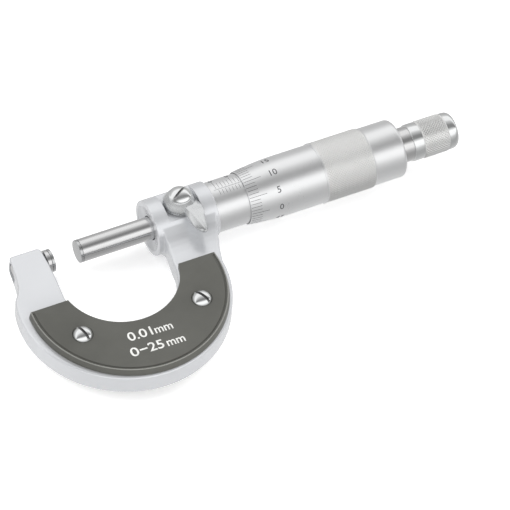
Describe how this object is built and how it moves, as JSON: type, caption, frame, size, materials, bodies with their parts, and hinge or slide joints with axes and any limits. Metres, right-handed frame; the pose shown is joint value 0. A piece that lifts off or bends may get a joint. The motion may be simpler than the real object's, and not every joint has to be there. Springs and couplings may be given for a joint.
{
  "type": "outside micrometer",
  "caption": "Outside micrometer with C-frame, insulated frame covers, screw-driven spindle, graduated thimble, ratchet stop and spindle lock lever.",
  "frame": {"origin": "centre of the anvil's measuring face", "axes": "+X along the spindle axis from the anvil towards the ratchet; the C-frame hangs towards -Y; +Z out of the front cover, the side the sleeve's datum line and the lock lever face"},
  "size_m": [0.1401, 0.0588, 0.0206],
  "materials": {
    "frame_enamel": "light satin grey enamel",
    "heat_cover": "satin",
    "satin_chrome": "satin",
    "bright_chrome": "polished",
    "ground_steel": "ground",
    "carbide": "lapped",
    "brass": "machined"
  },
  "bodies": {
    "frame": {"frame": "frame_enamel", "anvil": "ground_steel", "anvil_tip": "carbide", "front_cover": "heat_cover", "rear_cover": "heat_cover", "front_cover_screw_left": "bright_chrome", "front_cover_screw_right": "bright_chrome", "rear_cover_screw_left": "bright_chrome", "rear_cover_screw_right": "bright_chrome", "inner_sleeve": "ground_steel", "adjusting_nut": "ground_steel", "lock_washer": "ground_steel"},
    "sleeve": {"sleeve": "satin_chrome"},
    "spindle_carrier": {"spindle_tip": "carbide"},
    "spindle_thimble": {"spindle": "ground_steel", "thimble": "satin_chrome", "ratchet_body": "ground_steel", "ratchet_screw": "bright_chrome"},
    "ratchet_knob": {"ratchet_knob": "bright_chrome", "ratchet_spring": "ground_steel"},
    "ratchet_pawl": {"ratchet_pawl": "brass"},
    "lock_lever": {"lock_lever": "bright_chrome", "lock_lever_screw": "bright_chrome", "lock_stud": "ground_steel"},
    "lock_shoe": {"lock_shoe": "brass"}
  },
  "joints": [
    {"name": "spindle_travel", "type": "slide", "parent": "frame", "child": "spindle_carrier", "axis": [1, 0, 0], "range_m": [-0.00761, 0.01739]},
    {"name": "thimble_turn", "type": "hinge", "parent": "spindle_carrier", "child": "spindle_thimble", "pos_m": [0.06, 0, 0], "axis": [1, 0, 0], "range_deg": [-5479, 12520]},
    {"name": "ratchet_slip", "type": "hinge", "parent": "spindle_thimble", "child": "ratchet_knob", "pos_m": [0.115, 0, 0], "axis": [1, 0, 0], "continuous": true},
    {"name": "pawl_click", "type": "slide", "parent": "ratchet_knob", "child": "ratchet_pawl", "axis": [1, 0, 0], "range_m": [0, 0.0006], "stiffness_N_per_m": 400, "springref_m": -0.001, "deforming": ["ratchet_spring"]},
    {"name": "lock_lever_turn", "type": "hinge", "parent": "frame", "child": "lock_lever", "pos_m": [0.0383, 0, 0.007], "axis": [0, 0, 1], "range_deg": [-40, 0]},
    {"name": "lock_shoe_press", "type": "slide", "parent": "frame", "child": "lock_shoe", "axis": [0, 0, -1], "range_m": [0, 0.00016]},
    {"name": "sleeve_zero_adjust", "type": "hinge", "parent": "frame", "child": "sleeve", "pos_m": [0.06, 0, 0], "axis": [1, 0, 0], "range_deg": [-15, 15]}
  ],
  "couplings": [
    {"joint": "spindle_travel", "follows": "thimble_turn", "m_per_rad": 0.000079577},
    {"joint": "lock_shoe_press", "follows": "lock_lever_turn", "m_per_rad": -0.00021486}
  ]
}
